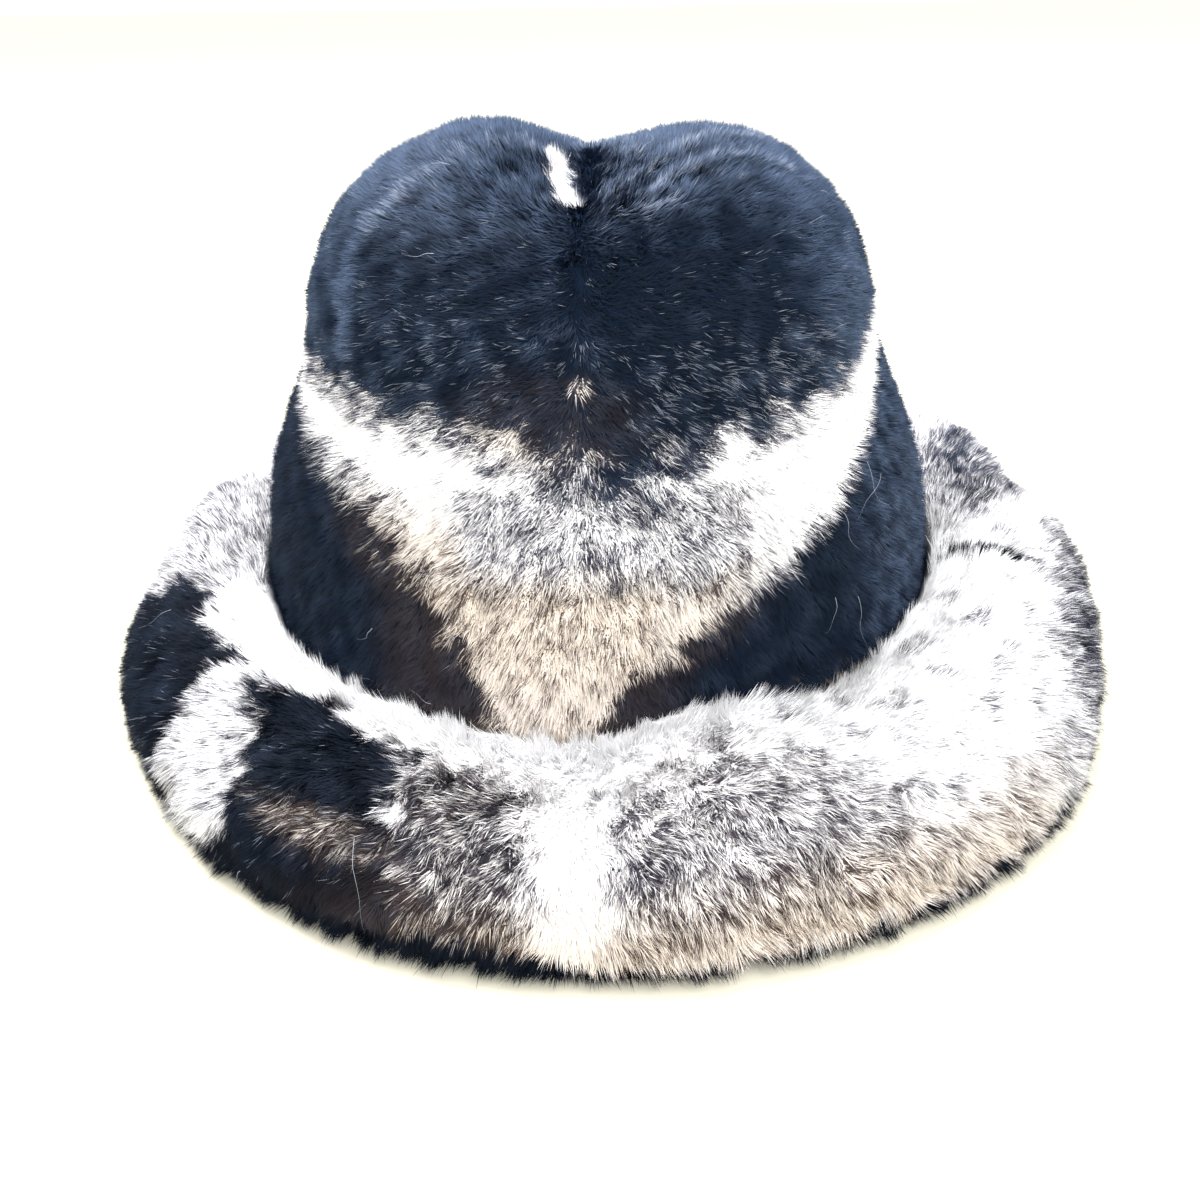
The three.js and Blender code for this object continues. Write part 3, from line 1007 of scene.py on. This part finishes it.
def fur_finish(name, deep):
    """Fur whose hairs carry their own marks. deep is the colour of its dark hairs."""
    finish = Finish(name, SNOW)
    along = finish.attribute("along")
    dark = finish.attribute("dark")
    warm = finish.attribute("warm")
    luck = finish.attribute("luck")
    pepper = finish.attribute("pepper")
    light_hair = finish.mix(warm, SNOW, CREAM)
    light_hair = finish.mix((1 - along * 1.6).clamp() * 0.6, light_hair, SNOW_ROOT)
    tip = (along * 2.2 - 1.1).clamp() * finish.attribute("ticking")
    light_hair = finish.mix(tip, light_hair, finish.mix(warm, SMOKE, BROWN))
    # painted blue-grey sheen over the dark hairs
    night = finish.mix(finish.attribute("painted_sheen"), deep, SHEEN_BLUE_GREY)
    speck = finish.mix(warm, LILAC, BROWN)
    dark_hair = finish.mix(pepper * (0.35 + luck * 0.65), night, speck)
    dark_hair = finish.mix(warm * 0.25, dark_hair, BROWN)
    # silver hairs and painted glints towards the tips
    dark_hair = finish.mix(finish.attribute("silver_and_glint") * along, dark_hair, SILVER)
    dark_hair = finish.mix((1 - along * 2).clamp() * (1 - pepper), dark_hair, NIGHT_ROOT)
    colour = finish.mix(dark, light_hair, dark_hair)
    uneven = finish.noise(220.0) * 0.3 + 0.82 + (luck - 0.5) * 0.2
    scaled = {0: colour, "Scale": uneven}
    shaded = finish.node("ShaderNodeVectorMath", {"operation": "SCALE"}, scaled)
    return finish.surface(shaded, {"Roughness": 0.6, "Specular IOR Level": DULL})


# the brim lies more open to the light than the crown's front, so its dark pelts get a painted shade
# at half the crown's dark colour
SHADED_NIGHT = tuple(0.5 * part for part in NIGHT)
fur_materials = {
    "crown": fur_finish("crown_fur", NIGHT),
    "brim": fur_finish("brim_fur", SHADED_NIGHT),
}
for name, piece in fur_pieces.items():
    piece.data.materials.append(fur_materials[name.split("_")[0]])

stray_finish = Finish("pale_loose_hair", SILVER)
stray_colour = stray_finish.mix(stray_finish.noise(150.0), STRAY_DARK, STRAY_LIGHT)
strays.data.materials.append(stray_finish.surface(stray_colour, {"Roughness": 0.5}))


# %% The skins' colours
def mark_skin(node):
    """Keeps the chart's values on a skin, for its colour between the hairs."""
    mesh = skins[node].data
    places, normals = vertices_of(mesh), normals_of(mesh)
    dark, warm, _, _ = charts[node](places)
    furry = fur_share[node](places, normals)
    for label, values in (("dark", dark), ("warm", warm), ("furry", furry)):
        mark = mesh.attributes.new(label, "FLOAT", "POINT")
        mark.data.foreach_set("value", values.astype(np.float32))


def skin_finish(name, bare, deep):
    """The skin between the hairs, and its bare side with fine wrinkles."""
    finish = Finish(name, bare)
    dark = finish.attribute("dark")
    warm = finish.attribute("warm")
    grain = finish.noise(900.0, 4.0)
    fine = finish.noise(1900.0, 1.0)
    cloudy = finish.noise(60.0, 3.0)
    mottled = ((fine - 0.5) * 4 + dark * 3 - 1).clamp()
    dim = finish.mix(dark, finish.mix(warm, LILAC, BROWN), deep)
    under = finish.mix(mottled, finish.mix(warm, SNOW, CREAM), dim)
    back = finish.mix(cloudy, bare, tuple(0.6 * part for part in bare))
    back = finish.mix(grain * 0.35, back, tuple(0.3 * part for part in bare))
    colour = finish.mix(finish.attribute("furry"), back, under)
    wrinkles = {"Height": grain + cloudy * 0.5, "Strength": 0.35, "Distance": 1 * MM}
    bump = finish.node("ShaderNodeBump", {}, wrinkles)
    return finish.surface(colour, {"Roughness": 0.85, "Specular IOR Level": DULL}, bump)


HIDE = (0.34, 0.28, 0.22)
UNDERSIDE = (0.012, 0.018, 0.030)
skin_materials = {
    "crown": skin_finish("hide_inside_the_crown", HIDE, NIGHT),
    "brim": skin_finish("dark_fur_under_the_brim", UNDERSIDE, SHADED_NIGHT),
}
for node, skin in skins.items():
    mark_skin(node)
    skin.data.materials.clear()
    skin.data.materials.append(skin_materials[node])

# %% [markdown]

# %% [markdown]
# ## Floor, light and camera
# Dark fur shows its lie best in bright, soft light from above, with hardly any shadow. So
# the floor is pale, the world is bright, and two big square lamps give the pile a gloss.
# The camera looks at the front from a little above and to the right. It stands near, and
# its aim is off the picture's middle, which the shift of the lens makes up for.

# %% Floor
FLOOR_SIZE = 12
CREAM_FLOOR, SHADED_FLOOR = (0.78, 0.735, 0.60), (0.76, 0.715, 0.58)
bpy.ops.object.select_all(action="DESELECT")
bpy.ops.mesh.primitive_plane_add(size=FLOOR_SIZE)
floor = bpy.context.object
floor.name = "floor"
floor_finish = Finish("pale_floor", CREAM_FLOOR)
floor_colour = floor_finish.mix(floor_finish.noise(4.0), CREAM_FLOOR, SHADED_FLOOR)
floor.data.materials.append(floor_finish.surface(floor_colour, {"Roughness": 0.9}))

# %% Light
SKY_COLOUR, SKY_STRENGTH = (0.95, 0.98, 1.0, 1), 1.5
# Each lamp's place, the point it looks at, the side of its square and its power in watts
LAMPS = {
    "window": {"place": (-0.5, 0.3, 1.4), "aim": (0, 0, 0.08), "size": 1.2, "power": 36},
    "fill": {"place": (0.4, -1.0, 1.2), "aim": (0, 0, 0.05), "size": 1.0, "power": 26},
}

world = bpy.data.worlds.new("bright_sky")
bpy.context.scene.world = world
world.use_nodes = True
background = world.node_tree.nodes["Background"]
background.inputs["Color"].default_value = SKY_COLOUR
background.inputs["Strength"].default_value = SKY_STRENGTH


def add_softbox(name, place, aim, size, power):
    """A square soft lamp that looks at a point."""
    lamp = bpy.data.lights.new(name, "AREA")
    lamp.size = size
    lamp.energy = power
    holder = bpy.data.objects.new(name, lamp)
    bpy.context.scene.collection.objects.link(holder)
    holder.location = place
    holder.rotation_euler = (Vector(aim) - Vector(place)).to_track_quat("-Z", "Y").to_euler()


for name, lamp in LAMPS.items():
    add_softbox(name, **lamp)
    print("lamp", name, "of", lamp["power"], "W")

# %% Camera
PICTURE_SIDE = 1200
FOCAL_PIXELS = 1248
# The pixel at which the aimed point is seen
AIM_PIXEL = (597, 442)
AIM_HEIGHT = 58.5 * MM
CAMERA_DISTANCE = 390 * MM
SENSOR_WIDTH = 36
NEAREST = 0.01
ELEVATION, AZIMUTH, ROLL = (math.radians(value) for value in (21, 2.5, 1.0))

# the camera's own axes, before and after its small roll
level = math.cos(ELEVATION)
back = Vector((math.sin(AZIMUTH) * level, -math.cos(AZIMUTH) * level, math.sin(ELEVATION)))
right = Vector((math.cos(AZIMUTH), math.sin(AZIMUTH), 0))
up = back.cross(right)
aim = Vector(axis) + Vector((0, 0, AIM_HEIGHT))
rolled_right = right * math.cos(ROLL) - up * math.sin(ROLL)
rolled_up = right * math.sin(ROLL) + up * math.cos(ROLL)

camera_data = bpy.data.cameras.new("camera")
camera = bpy.data.objects.new("camera", camera_data)
bpy.context.scene.collection.objects.link(camera)
camera_data.sensor_width = SENSOR_WIDTH
camera_data.sensor_fit = "HORIZONTAL"
camera_data.lens = SENSOR_WIDTH * FOCAL_PIXELS / PICTURE_SIDE
camera_data.shift_x = (PICTURE_SIDE / 2 - AIM_PIXEL[0]) / PICTURE_SIDE
camera_data.shift_y = (AIM_PIXEL[1] - PICTURE_SIDE / 2) / PICTURE_SIDE
camera_data.clip_start = NEAREST
turned = Matrix((rolled_right, rolled_up, back)).transposed().to_4x4()
camera.matrix_world = Matrix.Translation(aim + back * CAMERA_DISTANCE) @ turned
bpy.context.scene.camera = camera
bpy.context.scene.view_settings.view_transform = "Standard"
print("camera at", tuple(round(value, 3) for value in camera.location))
